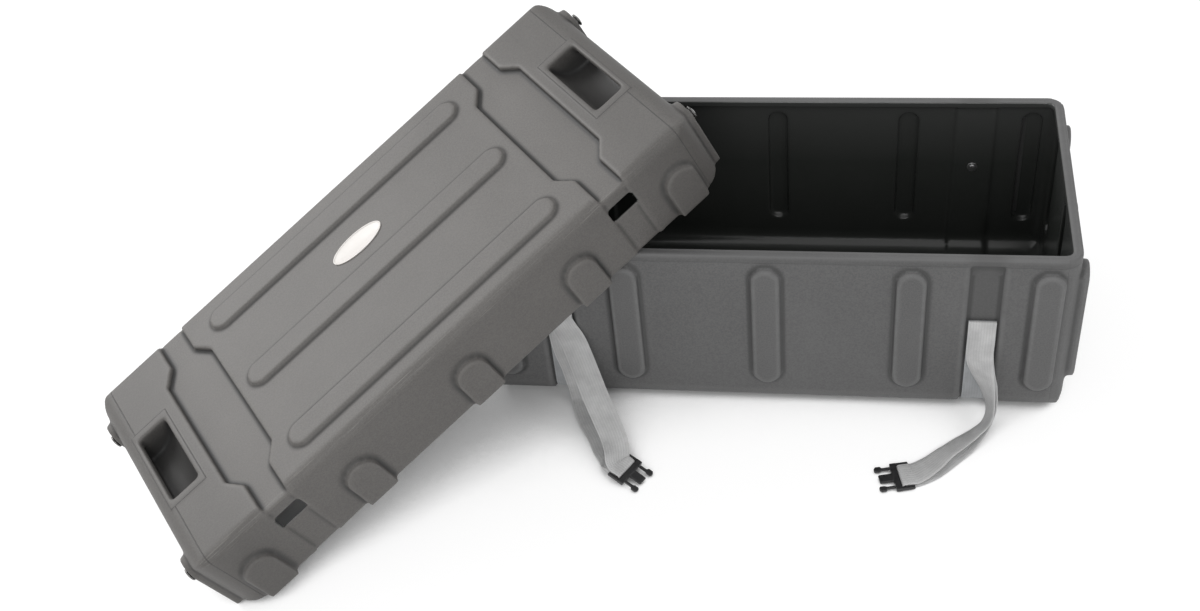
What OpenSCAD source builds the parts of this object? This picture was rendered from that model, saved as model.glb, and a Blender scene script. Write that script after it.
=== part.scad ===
// Moulded case for drum stands: a deep tub and a telescoping lid, held shut by two webbing belts.
// Millimetres, +Z up, origin at the centre of the tub's flat underside.
// The lid is drawn off the tub: it leans on the left and front rims, its lower end on the floor.

/* [Tub] */
// Length of the tub over its end walls
base_l = 850; // [800:1:900]
// Width of the tub over its long walls
base_w = 370; // [340:1:400]
// Height of the tub from the floor to the rim
base_h = 292; // [285:1:310]
// Thickness of the tub's moulded wall
base_wall = 6; // [4:0.5:7]
// Radius of the tub's upright corners
base_corner = 26; // [24:1:40]
// Radius between the tub's walls and its underside
base_edge = 32; // [28:1:40]
// Width of the rim that turns inward
lip_w = 14; // [12:1:18]
// Height of the rim
lip_h = 10; // [6:1:12]

/* [Tub ribs] */
// Width of every upright rib on the tub
rib_w = 40; // [34:1:41]
// How far the ribs stand out of the long walls
rib_proud = 8; // [5:0.5:9]
// Height of the ribs' lower ends
rib_low = 50; // [44:1:60]
// Height of the long walls' upper rib ends
rib_high = 270; // [240:1:272]
// Spacing of the ribs beside the middle one
rib_pitch = 200; // [180:1:210]
// Place of the ribs nearest the corners
rib_last = 384; // [375:1:386]
// How far the ribs stand out of the end walls
end_rib_proud = 12; // [8:0.5:13]
// Place of the outer ribs on the end walls
end_rib_y = 150; // [120:1:150]
// Height of the outer end ribs' upper ends
end_rib_high = 262; // [240:1:270]
// Height of the middle end rib's upper end
mid_rib_high = 240; // [200:1:260]

/* [Belts] */
// Width of the webbing
strap_w = 38; // [30:1:40]
// Thickness of the webbing
strap_t = 2; // [1.2:0.1:2.4]
// Distance of each belt from the middle of the case
strap_x = 300; // [292:1:308]
// Width of the channel round the tub that holds a belt
channel_w = 47; // [42:1:52]
// Depth of that channel
channel_d = 5; // [3:0.5:6]
// Gap between the rim and the channel's upper end
channel_top = 12; // [11:1:20]
// Height at which the loose end folds out of the channel
fold_z = 176; // [165:1:200]
// How far below the fold the rivet sits
rivet_drop = 9; // [8:1:14]
// Radius of a rivet's shank
rivet_r = 2.4; // [2:0.1:3]
// Radius of a rivet's outer head
rivet_head_r = 6; // [5:0.5:7]
// Radius of the washer behind a rivet
washer_r = 8; // [7:0.5:10]
// Thickness of that washer
washer_t = 1.2; // [0.8:0.1:2]
// Distance from the wall to the rear belts' catch bar
rear_reach = 125; // [115:1:135]

/* [Buckles] */
// Width of a buckle over its frame
buckle_w = 48; // [46:1:54]
// Thickness of the half with the prongs
male_t = 6; // [5:0.5:6.5]
// Length of the middle tongue in front of its frame
tongue_l = 20; // [14:1:24]
// Length of the prongs
prong_l = 23; // [18:1:26]
// Length of the socket half in front of its bar
socket_l = 50; // [44:1:58]
// Thickness of the socket half
socket_t = 10.8; // [10.4:0.1:14]
// Wall of the socket half
socket_wall = 1.8; // [1.4:0.1:2.2]

/* [Lid] */
// Height of the lid from its rim to its top
lid_h = 132; // [125:1:140]
// Thickness of the lid's moulded wall
lid_wall = 5; // [3.5:0.5:5.5]
// Room between the tub's long walls and the lid
lid_gap = 6; // [5:0.5:8]
// Room between the tub's end walls and the lid
lid_end_gap = 16; // [15:0.5:20]
// Radius of the lid's upright corners
lid_corner = 38; // [32:1:46]
// Radius between the lid's top and its long walls
lid_side_edge = 15; // [12:1:20]
// Radius between the lid's top and its end walls
lid_end_edge = 28; // [24:1:32]
// Width of the tabs that pass over the tub's ribs
tab_w = 50; // [50:1:54]
// How far the tabs stand out of the lid
tab_proud = 9.5; // [8:0.5:10]
// Height of the tabs from the lid's rim
tab_h = 80; // [70:1:90]
// Wall of the tabs
tab_wall = 4; // [2.5:0.5:4]
// Width of the bumps on the lid's end walls
bump_w = 46; // [40:1:50]
// How far those bumps stand out
bump_proud = 9; // [6:0.5:10]
// Height of the bumps from the lid's rim
bump_h = 114; // [112:1:118]
// Place of the bumps on the end walls
bump_y = 149; // [130:1:150]

/* [Lid top] */
// Number of ribs along the lid's top
top_ribs = 3; // [1:1:3]
// Spacing of the top ribs
top_rib_pitch = 140; // [120:1:142]
// Width of a top rib
top_rib_w = 38; // [30:1:44]
// Length of a top rib
top_rib_l = 474; // [420:1:480]
// Height of a top rib
top_rib_h = 6; // [3:0.5:8]
// Depth of the belt channel in the lid's top
top_channel_d = 9; // [6:0.5:11]
// Depth of the belt channel in the lid's long walls
side_channel_d = 2.5; // [1.5:0.5:3]
// Width of the wide part of the top channel
flare_w = 84; // [60:1:90]
// Half length of the wide part of the top channel
flare_y = 109; // [90:1:115]
// Half length at which the channel is narrow again
neck_y = 136; // [125:1:140]
// Height of the slot that a belt passes through
slot_h = 23; // [14:1:24]
// Height of the slot's lower edge above the lid's rim
slot_low = 78; // [70:1:82]

/* [Handles] */
// Distance of the grip pocket's inner edge from the lid's middle
grip_x = 368; // [366:1:372]
// Width of the pocket's mouth
grip_w = 49; // [46:1:50]
// Length of the pocket
grip_l = 132; // [110:1:140]
// Depth of the pocket
grip_d = 44; // [34:1:46]
// How far the fingers reach under the outer edge
grip_under = 11; // [6:0.5:11]
// Thickness of the pocket's outer edge
grip_edge = 13; // [10:1:16]
// Height of the raised border round the pocket
border_h = 1; // [0.5:0.1:2]
// Width of that border at the pocket's ends
border_w = 13; // [8:1:16]

/* [Glides and badge] */
// Radius of the steel glides on the lid's ends
glide_r = 10; // [8:0.5:12]
// Thickness of a glide's head
glide_t = 3; // [2:0.5:4]
// Radius of the spacer under the head
spacer_r = 7.5; // [6:0.5:9]
// Thickness of that spacer
spacer_t = 4; // [2:0.5:5]
// Height of the glides above the lid's rim
glide_z = 87; // [80:1:90]
// Length of the blank badge
badge_l = 88; // [70:1:90]
// Width of the blank badge
badge_w = 38; // [30:1:60]
// Thickness of the blank badge
badge_t = 1.6; // [1:0.1:3]
// Place of the badge across the lid
badge_y = 63; // [61:1:66]

/* [Lid beside the tub] */
// Turn of the leaning lid from the tub's length
lid_heading = 40; // [36:0.5:44]
// Slope of the leaning lid
lid_lean = 23.6; // [22:0.1:26]

/* [Hidden] */
$fn = 64;
bite = 2;        // how far a pad is let into the wall that carries it
touch = 0.3;     // gap where two bodies rest on each other
slip = 0.1;      // gap round a shank in its hole
past = 1;        // how far a cut runs past a face
tub_grey = [0.27, 0.27, 0.27];
lid_grey = [0.42, 0.42, 0.41];
web_grey = [0.62, 0.63, 0.64];

half_l = base_l / 2;
half_w = base_w / 2;
side_rib_xs = [-rib_last, -rib_pitch, 0, rib_pitch, rib_last];
rib_wall = base_wall - 1;
bed_y = half_w - channel_d;          // floor of the belt channel
strap_y = bed_y + strap_t;           // outer face of the belt in it
rivet_z = fold_z - rivet_drop;
inner_y = bed_y - base_wall;         // inside of the wall behind the channel
rivet_head_t = strap_t / 2;

// Lid sizes follow the tub, so that the lid still passes over it
lid_in = half_w + lid_gap;
lid_out = lid_in + lid_wall;
lid_end_in = half_l + lid_end_gap;
lid_end = lid_end_in + lid_wall;
lid_reach = lid_end + bump_proud;
narrow_w = strap_w + 6;
slot_w = strap_w + 3;

// Place of the leaning lid: its inner rim edges lie on the tub's left and front rims
touch_left = [-half_l, -half_w + 2 * lid_in * cos(lid_heading)];
touch_front = [-half_l + 2 * lid_in * sin(lid_heading), -half_w];
run = base_h / tan(lid_lean);
lid_at = (touch_left + touch_front) / 2
    + (lid_reach * cos(lid_lean) - run) * [cos(lid_heading), sin(lid_heading)];
lid_up = touch + lid_reach * sin(lid_lean);

// Webbing loops: a loose end is one band that runs out to a buckle bar and back
bar_r = 1.8;
turn_r = bar_r + 0.35 + strap_t / 2;
roll_r = 1.5;                        // half the distance between the band's two layers at the fold
fold_y = strap_y + touch + roll_r + strap_t / 2;
flat_z = touch + strap_t / 2;        // middle of a layer that lies on the floor

// Buckle places: [bar centre, turn about Z, forward tilt]
right_bar = [strap_x - 104, -half_w - 138, flat_z + turn_r];
left_bar = [103 - strap_x, -half_w - 152, 13];
rear_bar_z = touch + socket_t / 2;
right_turn = -166.4;
left_turn = -30;
left_tilt = 13;
side_l = 4.2;                        // width of a buckle frame's side arm
block_u = turn_r + strap_t / 2 + 0.4;
block_l = 8.6;
prong_u = block_u + block_l + touch;
prong_v = 17.2;
prong_t = 3.4;

// Small vector helpers
function unit(v) = v / norm(v);
function at(list, i) = list[(i + len(list)) % len(list)];

// A point from b to c on a curve whose ends point along a to c and b to d
function smooth(a, b, c, d, t) = let (reach = norm(c - b))
    b + (c - b) * t * t * (3 - 2 * t)
    + unit(c - a) * reach * t * (1 - t) * (1 - t) - unit(d - b) * reach * t * t * (1 - t);

// Rings of a closed band: each is [centre, direction across the band]
function rounded(rings, steps) = [
    for (i = [0 : len(rings) - 1]) for (s = [0 : steps - 1])
        let (t = s / steps, a = at(rings, i - 1), b = rings[i], c = at(rings, i + 1), d = at(rings, i + 2))
        [smooth(a[0], b[0], c[0], d[0], t), unit(b[1]) * (1 - t) + unit(c[1]) * t]];

// A point of a U-shaped bend: straight for lead on both sides, half round between
turn_lead = 19;
fold_lead = 11;
LEADS = [1, 0.32, 0.08];
function bend(k, r, lead) = k < 3 ? [-LEADS[k] * lead, r]
    : k > 7 ? [-LEADS[10 - k] * lead, -r]
    : [r * cos(90 - 45 * (k - 3)), r * sin(90 - 45 * (k - 3))];

// Half turn of the band round a bar that faces way, with up square to it
function turn_rings(bar, way, up, side, lead = turn_lead) = [
    for (k = [0 : 10]) let (p = bend(k, turn_r, k < 3 ? lead : turn_lead))
        [bar + p[0] * way + p[1] * up, side]];

// Fold at the top of a loose end, from the inner layer over to the outer one
function fold_rings(x, side) = [
    for (k = [10 : -1 : 0]) let (p = bend(k, roll_r, fold_lead))
        [[x, side * (fold_y + p[1]), fold_z + p[0]], [1, 0, 0]]];

// Outer layer down to the bar and inner layer back: [along the wall from the belt, out from it, up]
RIGHT_OUT = [
    [[0, 3, 145], [38, -1, 0]], [[0, 7.2, 112], [37, -7, 5]], [[5.3, 12.8, 88], [29, -19, 16]],
    [[13.4, 18.5, 65], [18, -25, 22]], [[18.1, 29, 49], [10, -26, 26]], [[18.4, 40, 37], [8, -27, 25]],
    [[12.9, 51.7, 27.5], [10, -27, 25]], [[-0.6, 63.5, 20], [13, -26, 24]], [[-20, 79, 15.8], [18, -26, 21]],
    [[-43, 98, 14.1], [21, -28, 17]], [[-63.3, 117.4, 10.4], [17, -33, 9]]];
RIGHT_BACK = [
    [[-66, 122, 1.8], [13, -36, 0]], [[-51, 108, 2.3], [16, -34, 0]], [[-36, 92, 2.6], [18, -33, 0]],
    [[-18, 75, 4.5], [17, -33, 4]], [[-1.5, 61, 9.8], [14, -32, 13]], [[11.5, 50, 18.8], [10, -30, 21]],
    [[20, 39.5, 31], [7, -28, 25]], [[22, 28.5, 46], [9, -26, 26]], [[17, 15.7, 64], [18, -25, 22]],
    [[7.4, 9.7, 87], [29, -19, 16]], [[0.8, 4.1, 112], [37, -7, 5]], [[0, -1.2, 143], [38, -0.6, 0]]];
LEFT_OUT = [
    [[7, 3.4, 148], [37, 0, 5]], [[18, 9, 127], [36, 6, 9]], [[29, 23, 106], [35, 11, 8]],
    [[42, 45, 87], [34, 14, 8]], [[56, 69, 68], [33, 16, 10]], [[72, 94, 50], [31, 18, 12]],
    [[85.5, 118, 36], [29, 21, 12]], [[90, 131.5, 28], [23, 29.5, 5]]];
LEFT_BACK = [
    [[79, 125, 8], [21, 31, 0]], [[68, 106, 3], [26, 28, 0]], [[57, 82, 1.8], [29, 24, 0]],
    [[43, 58, 1.7], [33, 18, 0]], [[32, 34, 1.7], [36, 11, 0]], [[26, 19, 2.2], [37, 7, 0]],
    [[23, 10, 6], [38, 4, 0]], [[20.5, 6.4, 15], [38, 2, 2]], [[17, 4.6, 34], [38, 0, 4]],
    [[12, 3.2, 64], [38, 0, 4]], [[5, 2.2, 94], [38, 0, 3]], [[1, 0.3, 120], [38, 0, 0]],
    [[0, -1.5, 142], [38, 0, 0]]];
REAR_OUT = [
    [[0, 3, 140], [1, 0, 0]], [[0, 4, 90], [1, 0, 0]], [[0, 5, 45], [1, 0, 0]], [[0, 8, 24], [1, 0, 0]],
    [[0, 17, 12], [1, 0, 0]], [[0, 34, 8], [1, 0, 0]], [[0, 70, 7], [1, 0, 0]], [[0, 100, 8], [1, 0, 0]]];
REAR_BACK = [
    [[0, 110, 2], [1, 0, 0]], [[0, 84, 1.3], [1, 0, 0]], [[0, 50, 1.3], [1, 0, 0]],
    [[0, 24, 1.3], [1, 0, 0]], [[0, 10, 3], [1, 0, 0]], [[0, 3, 9], [1, 0, 0]], [[0, 0.5, 22], [1, 0, 0]],
    [[0, -0.6, 45], [1, 0, 0]], [[0, -1.5, 90], [1, 0, 0]], [[0, -1.5, 140], [1, 0, 0]]];

// Turns a list of such rings into places beside the tub, for the belt at x
function beside(rings, side, x) = [
    for (r = rings) [[x + r[0][0], side * (half_w + r[0][1]), r[0][2]], r[1]]];

// A rectangle with rounded corners, centred
module round_rect(l, w, r) {
    square([l - 2 * r, w], center = true);
    square([l, w - 2 * r], center = true);
    for (x = [-1, 1], y = [-1, 1]) translate([x * (l / 2 - r), y * (w / 2 - r)]) circle(r);
}

// A rectangle that stands on the X axis, its two lower corners rounded
module foot_shape(l, h, r) {
    translate([-l / 2, r]) square([l, h - r]);
    translate([r - l / 2, 0]) square([l - 2 * r, r]);
    for (x = [-1, 1]) translate([x * (l / 2 - r), r]) circle(r);
}

// An upright bar with round ends, from height low to height high
module stadium(w, low, high) {
    translate([-w / 2, low + w / 2]) square([w, high - low - w]);
    for (z = [low + w / 2, high - w / 2]) translate([0, z]) circle(w / 2);
}

// Stands a drawing up so that it faces the long walls or the end walls
module facing_side(depth) {
    rotate([90, 0, 0]) linear_extrude(depth, center = true) children();
}
module facing_end(depth) {
    rotate([90, 0, 90]) linear_extrude(depth, center = true) children();
}

// A tray block: round upright corners and round lower edges
module tray(l, w, h, corner, end_edge, side_edge) {
    intersection() {
        linear_extrude(h) round_rect(l, w, corner);
        facing_side(w + 2 * past) foot_shape(l, h + past, end_edge);
        facing_end(l + 2 * past) foot_shape(w, h + past, side_edge);
    }
}

// What lies outside the tub's cross-section drawn in by inset, over a width at x
module outside_section(x, w, inset, top) {
    translate([x, 0, 0]) difference() {
        translate([-w / 2, -half_w - past, -past]) cube([w, base_w + 2 * past, top + past]);
        translate([0, 0, inset]) facing_end(w + 2 * past)
            foot_shape(base_w - 2 * inset, base_h, base_edge - inset);
    }
}

// A round-ended pad or pocket on both long walls, between distances near and far from the middle
module on_long_walls(x, w, low, high, near, far) {
    for (s = [-1, 1]) translate([x, s * (near + far) / 2, 0])
        facing_side(far - near) stadium(w, low, high);
}
module on_end_walls(y, w, low, high, near, far) {
    for (s = [-1, 1]) translate([s * (near + far) / 2, y, 0])
        facing_end(far - near) stadium(w, low, high);
}

// Upright ribs of the tub; shrink makes the hollow that each has inside
module tub_ribs(shrink, side_near, side_far, end_near, end_far) {
    for (x = side_rib_xs)
        on_long_walls(x, rib_w - 2 * shrink, rib_low + shrink, rib_high - shrink, side_near, side_far);
    for (y = [-end_rib_y, 0, end_rib_y])
        on_end_walls(y, rib_w - 2 * shrink, rib_low + shrink,
            (y == 0 ? mid_rib_high : end_rib_high) - shrink, end_near, end_far);
}

module base_shell() {
    bump_half = channel_w + 2 * base_wall;
    color(tub_grey) difference() {
        union() {
            tray(base_l, base_w, base_h, base_corner, base_edge, base_edge);
            tub_ribs(0, half_w - bite, half_w + rib_proud, half_l - bite, half_l + end_rib_proud);
        }
        for (x = [-strap_x, strap_x])
            outside_section(x, channel_w, channel_d, base_h - channel_top);
        difference() {
            translate([0, 0, base_wall]) tray(base_l - 2 * base_wall, base_w - 2 * base_wall,
                base_h - lip_h - base_wall, base_corner - base_wall, base_edge - base_wall,
                base_edge - base_wall);
            for (x = [-strap_x, strap_x])
                outside_section(x, bump_half, channel_d + base_wall, base_h);
        }
        translate([0, 0, base_h - lip_h - past]) linear_extrude(lip_h + 2 * past)
            round_rect(base_l - 2 * lip_w, base_w - 2 * lip_w, base_corner - lip_w);
        tub_ribs(rib_wall, half_w - base_wall - past, half_w + rib_proud - rib_wall,
            half_l - base_wall - past, half_l + end_rib_proud - rib_wall);
        for (x = [-strap_x, strap_x]) translate([x, 0, rivet_z])
            rotate([90, 0, 0]) cylinder(h = base_w, r = rivet_r + slip, center = true);
    }
}

// Belt that lies in the channel: up the front, under the tub and up the back
module belly_strap(x) {
    color(web_grey) difference() {
        intersection() {
            translate([x - strap_w / 2, -base_w, 0]) cube([strap_w, 2 * base_w, fold_z]);
            difference() {
                translate([x, 0, channel_d - strap_t]) facing_end(strap_w + past)
                    foot_shape(2 * strap_y, base_h, base_edge - channel_d + strap_t);
                translate([x, 0, channel_d]) facing_end(strap_w + 2 * past)
                    foot_shape(2 * bed_y, base_h, base_edge - channel_d);
            }
        }
        translate([x, 0, rivet_z]) rotate([90, 0, 0]) {
            cylinder(h = base_w, r = rivet_r + slip, center = true);
            for (s = [-1, 1]) translate([0, 0, s * (strap_y - rivet_head_t / 2 + past)])
                cylinder(h = rivet_head_t + 2 * past, r = rivet_head_r + slip, center = true);
        }
    }
}

// The four places of the belts' rivets, each turned so that +Z points out of the wall
module at_rivets() {
    for (x = [-strap_x, strap_x], s = [-1, 1]) translate([x, 0, rivet_z])
        rotate([-90 * s, 0, 0]) children();
}

module strap_rivets() {
    upset_r = 4.5;
    upset_t = 1.8;
    inside = inner_y - washer_t;
    color("silver") at_rivets() {
        translate([0, 0, inside - past]) cylinder(h = strap_y - inside + past - rivet_head_t / 2, r = rivet_r);
        translate([0, 0, strap_y - rivet_head_t]) cylinder(h = rivet_head_t, r = rivet_head_r);
        translate([0, 0, inside - upset_t]) cylinder(h = upset_t, r = upset_r);
    }
}

module rivet_washers() {
    color("gainsboro") at_rivets() translate([0, 0, inner_y - washer_t]) difference() {
        cylinder(h = washer_t, r = washer_r);
        translate([0, 0, -past]) cylinder(h = washer_t + 2 * past, r = rivet_r + slip);
    }
}

// A closed band of webbing through the rings
module band(rings) {
    n = len(rings);
    corners = [for (i = [0 : n - 1])
        let (way = unit(at(rings, i + 1)[0] - at(rings, i - 1)[0]),
            side = unit(rings[i][1] - way * (rings[i][1] * way)) * strap_w / 2,
            up = unit(cross(way, side)) * strap_t / 2)
        for (p = [side + up, up - side, -side - up, side - up]) rings[i][0] + p];
    faces = [for (i = [0 : n - 1], k = [0 : 3])
        let (a = 4 * i + k, b = 4 * i + (k + 1) % 4, c = 4 * ((i + 1) % n) + k,
            d = 4 * ((i + 1) % n) + (k + 1) % 4)
        for (f = [[a, c, b], [b, c, d]]) f];
    color(web_grey) polyhedron(corners, faces, convexity = 8);
}

// Directions of a buckle that is turned about Z and then tilted forward
function across(turn) = [-sin(turn), cos(turn), 0];
function forward(turn, tilt) = [cos(turn) * cos(tilt), sin(turn) * cos(tilt), -sin(tilt)];
function upward(turn, tilt) = cross(forward(turn, tilt), across(turn));

module front_tail_left() {
    band(rounded(concat(fold_rings(-strap_x, -1), beside(LEFT_OUT, -1, -strap_x),
        turn_rings(left_bar, forward(left_turn, 18), upward(left_turn, 18), across(left_turn), 14),
        beside(LEFT_BACK, -1, -strap_x)), 2));
}
module front_tail_right() {
    band(rounded(concat(fold_rings(strap_x, -1), beside(RIGHT_OUT, -1, strap_x),
        turn_rings(right_bar, forward(right_turn, 0), [0, 0, 1], across(right_turn)),
        beside(RIGHT_BACK, -1, strap_x)), 2));
}
module rear_tail(x) {
    bar = [x, half_w + rear_reach, rear_bar_z];
    band(rounded(concat(fold_rings(x, 1), beside(REAR_OUT, 1, x),
        turn_rings(bar, [0, 1, 0], [0, 0, 1], [1, 0, 0]), beside(REAR_BACK, 1, x)), 2));
}

// Places a buckle on its bar: +X forward, Y along the bar
module on_bar(bar, turn, tilt) {
    translate(bar) rotate([0, tilt, turn]) children();
}

// A frame's two side arms and the bar between them
module bar_and_arms(back, front, thick) {
    rotate([90, 0, 0]) cylinder(h = buckle_w - side_l, r = bar_r, center = true, $fn = 32);
    for (s = [-1, 1]) translate([0, s * (buckle_w - side_l) / 2, 0]) rotate([90, 0, 0])
        linear_extrude(side_l, center = true) {
            translate([-back, 0]) circle(thick / 2, $fn = 32);
            translate([-back, -thick / 2]) square([back + front, thick]);
        }
}

// Half with the prongs: arms, front block and guide tongue
module male_buckle(bar, turn, tilt) {
    tongue_w = 13;
    tongue_t = male_t - 1.4;
    color("dimgray") on_bar(bar, turn, tilt) {
        bar_and_arms(11, block_u + past, male_t - 1);
        translate([block_u, -buckle_w / 2, -male_t / 2]) cube([block_l, buckle_w, male_t]);
        translate([block_u + block_l - past, -tongue_w / 2, -tongue_t / 2])
            cube([tongue_l + past - tongue_t / 2, tongue_w, tongue_t]);
        translate([block_u + block_l + tongue_l - tongue_t / 2, 0, 0]) rotate([90, 0, 0])
            cylinder(h = tongue_w, r = tongue_t / 2, center = true, $fn = 32);
    }
}

// A springy prong: round root, thin arm and barbed head
module prong(bar, turn, tilt, side) {
    head = 12;
    prong_h = male_t - 2;
    color("dimgray") on_bar(bar, turn, tilt) mirror([0, side < 0 ? 1 : 0, 0])
        translate([prong_u + prong_t / 2, prong_v, 0]) linear_extrude(prong_h, center = true) {
            circle(prong_t / 2, $fn = 32);
            translate([0, -prong_t / 2]) square([prong_l - head, prong_t]);
            polygon([[prong_l - head - 1, -prong_t / 2], [prong_l - head + 3, -prong_t],
                [prong_l - 3.5, -prong_t], [prong_l - prong_t / 2, -prong_t / 2],
                [prong_l - prong_t / 2, prong_t / 2], [prong_l - 4, 1.4 * prong_t],
                [prong_l - head + 1, 1.4 * prong_t], [prong_l - head - 1, prong_t / 2]]);
        }
}

// Socket half: hollow body with a mouth in front and a window in each side
module female_buckle(bar) {
    body_u = block_u;
    cavity_u = body_u + 4;
    window_l = 14;
    color("dimgray") on_bar(bar, 90, 0) {
        bar_and_arms(3, body_u + past, socket_t - 3);
        difference() {
            translate([(body_u + socket_l) / 2, 0, 0]) linear_extrude(socket_t, center = true)
                round_rect(socket_l - body_u, buckle_w + 2, 4);
            translate([cavity_u, -buckle_w / 2 + socket_wall, socket_wall - socket_t / 2])
                cube([socket_l, buckle_w - 2 * socket_wall, socket_t - 2 * socket_wall]);
            translate([cavity_u + 12, -buckle_w, -socket_t / 4]) cube([window_l, 2 * buckle_w, socket_t / 2]);
        }
    }
}

module on_lid() {
    translate([lid_at[0], lid_at[1], lid_up]) rotate([0, -lid_lean, lid_heading]) children();
}

// The lid's solid block, rim down, drawn in by inset
module lid_block(inset) {
    height = lid_h - inset;
    translate([0, 0, height]) mirror([0, 0, 1]) tray(2 * (lid_end - inset), 2 * (lid_out - inset),
        height + (inset > 0 ? past : 0), lid_corner - inset, lid_end_edge - inset, lid_side_edge - inset);
}

// Outline of the top channel at a belt, grown all round by grow
module channel_shape(grow) {
    n = narrow_w / 2 + grow;
    f = flare_w / 2 + grow;
    reach = lid_out + past;
    polygon([[-n, -reach], [n, -reach], [n, -neck_y], [f, -flare_y], [f, flare_y], [n, neck_y],
        [n, reach], [-n, reach], [-n, neck_y], [-f, flare_y], [-f, -flare_y], [-n, -neck_y]]);
}

// Hand pocket's cross-section in X and Z, grown by grow: a quarter round scoop under a ledge
module grip_section(grow) {
    floor_z = lid_h - grip_d;
    mouth = grip_x + grip_w;
    intersection() {
        translate([grip_x + grip_d, lid_h]) circle(grip_d + grow);
        translate([grip_x - grow, floor_z - grow]) square([grip_d + grow, grip_d + grow]);
    }
    translate([grip_x + grip_d - past, floor_z - grow])
        square([mouth + grip_under - grip_x - grip_d + grow + past, grip_d - grip_edge + 2 * grow]);
    translate([grip_x + grip_d - past, floor_z]) square([mouth - grip_x - grip_d + past + grow, grip_d]);
}

module both_ends() {
    for (a = [0, 180]) rotate([0, 0, a]) children();
}

module lid_shell() {
    border_in = 7;
    mouth = grip_x + grip_w;
    rib_ys = [for (i = [0 : top_ribs - 1]) (i - (top_ribs - 1) / 2) * top_rib_pitch];
    color(lid_grey) on_lid() difference() {
        union() {
            lid_block(0);
            for (x = side_rib_xs) intersection() {
                on_long_walls(x, tab_w, -tab_w, tab_h, lid_out - bite, lid_out + tab_proud);
                translate([-lid_end, -2 * lid_out, 0]) cube([2 * lid_end, 4 * lid_out, lid_h]);
            }
            for (y = [-bump_y, bump_y]) intersection() {
                on_end_walls(y, bump_w, -bump_w, bump_h, lid_end - bite, lid_reach);
                translate([-2 * lid_end, -lid_out, 0]) cube([4 * lid_end, 2 * lid_out, lid_h]);
            }
            for (y = rib_ys) translate([0, y, lid_h - bite]) linear_extrude(top_rib_h + bite)
                rotate(90) translate([0, -top_rib_l / 2]) stadium(top_rib_w, 0, top_rib_l);
            both_ends() translate([grip_x - border_in, -grip_l / 2 - border_w, lid_h - 2 * bite])
                cube([grip_w + 2 * border_in, grip_l + 2 * border_w, 2 * bite + border_h]);
        }
        // Belt channels over the top and down the long walls
        for (x = [-strap_x, strap_x]) translate([x, 0, 0]) {
            translate([0, 0, lid_h - top_channel_d]) linear_extrude(top_channel_d + past) channel_shape(0);
            for (s = [-1, 1]) translate([-narrow_w / 2, s * (lid_out + past) - (s > 0 ? side_channel_d + past : 0),
                -past]) cube([narrow_w, side_channel_d + past, lid_h + past]);
        }
        // Inside, with the channels and the hand pockets standing in it
        difference() {
            translate([0, 0, -past]) intersection() {
                translate([0, 0, past]) lid_block(lid_wall);
                translate([-lid_end, -lid_out, past]) cube([2 * lid_end, 2 * lid_out, lid_h]);
            }
            for (x = [-strap_x, strap_x]) translate([x, 0, lid_h - top_channel_d - lid_wall])
                linear_extrude(lid_h) channel_shape(lid_wall);
            both_ends() facing_side(grip_l + 2 * lid_wall) grip_section(lid_wall);
        }
        translate([0, 0, -past]) linear_extrude(2 * past)
            round_rect(2 * lid_end_in, 2 * lid_in, lid_corner - lid_wall);
        // Hollows in the tabs, the bumps and the top ribs
        for (x = side_rib_xs) on_long_walls(x, tab_w - 2 * tab_wall, -tab_w, tab_h - tab_wall,
            lid_in - past, lid_out + tab_proud - tab_wall);
        for (y = [-bump_y, bump_y]) on_end_walls(y, bump_w - 2 * lid_wall, -bump_w, bump_h - lid_wall,
            lid_end_in - past, lid_reach - lid_wall);
        for (y = rib_ys) translate([0, y, lid_h - lid_wall - past])
            linear_extrude(top_rib_h + past) rotate(90)
                translate([0, lid_wall - top_rib_l / 2])
                    stadium(top_rib_w - 2 * lid_wall, 0, top_rib_l - 2 * lid_wall);
        // Hand pockets
        both_ends() {
            facing_side(grip_l) grip_section(0);
            translate([grip_x, -grip_l / 2, lid_h - past]) cube([grip_w, grip_l, 2 * past + border_h]);
        }
        // Slots for the belts
        for (x = [-strap_x, strap_x]) translate([x - slot_w / 2, -2 * lid_out, slot_low])
            cube([slot_w, 4 * lid_out, slot_h]);
        // Holes for the glides' rivets
        for (s = [-1, 1]) translate([0, s * bump_y, glide_z]) rotate([0, 90, 0])
            cylinder(h = 3 * lid_end, r = rivet_r + slip, center = true);
    }
}

// Blank oval plate on the lid's top
module badge_plate() {
    outline = [for (a = [0 : 6 : 354]) [badge_l / 2 * cos(a), badge_w / 2 * sin(a)]];
    color("dimgray") on_lid() translate([0, badge_y, lid_h]) linear_extrude(badge_t) polygon(outline);
}

// The four places of the glides, each turned so that +Z points out of the end wall
module at_glides() {
    on_lid() for (s = [-1, 1], y = [-bump_y, bump_y]) translate([0, y, glide_z])
        rotate([0, 90 * s, 0]) children();
}

module glide_discs() {
    color("silver") at_glides() translate([0, 0, lid_reach]) difference() {
        union() {
            cylinder(h = spacer_t + past, r = spacer_r);
            translate([0, 0, spacer_t]) cylinder(h = glide_t, r = glide_r);
        }
        translate([0, 0, -past]) cylinder(h = spacer_t + glide_t + 2 * past, r = rivet_r + slip);
    }
}

module glide_rivets() {
    head_t = 1.4;
    upset_r = 4.5;
    outside = lid_reach + spacer_t + glide_t;
    inside = lid_reach - lid_wall - washer_t;
    color("gainsboro") at_glides() {
        translate([0, 0, inside - past]) cylinder(h = outside - inside + past, r = rivet_r);
        translate([0, 0, outside]) cylinder(h = head_t, r = rivet_head_r - 1);
        translate([0, 0, inside - head_t]) cylinder(h = head_t, r = upset_r);
    }
}

module glide_washers() {
    color("gainsboro") at_glides() translate([0, 0, lid_reach - lid_wall - washer_t]) difference() {
        cylinder(h = washer_t, r = washer_r);
        translate([0, 0, -past]) cylinder(h = washer_t + 2 * past, r = rivet_r + slip);
    }
}

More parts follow.
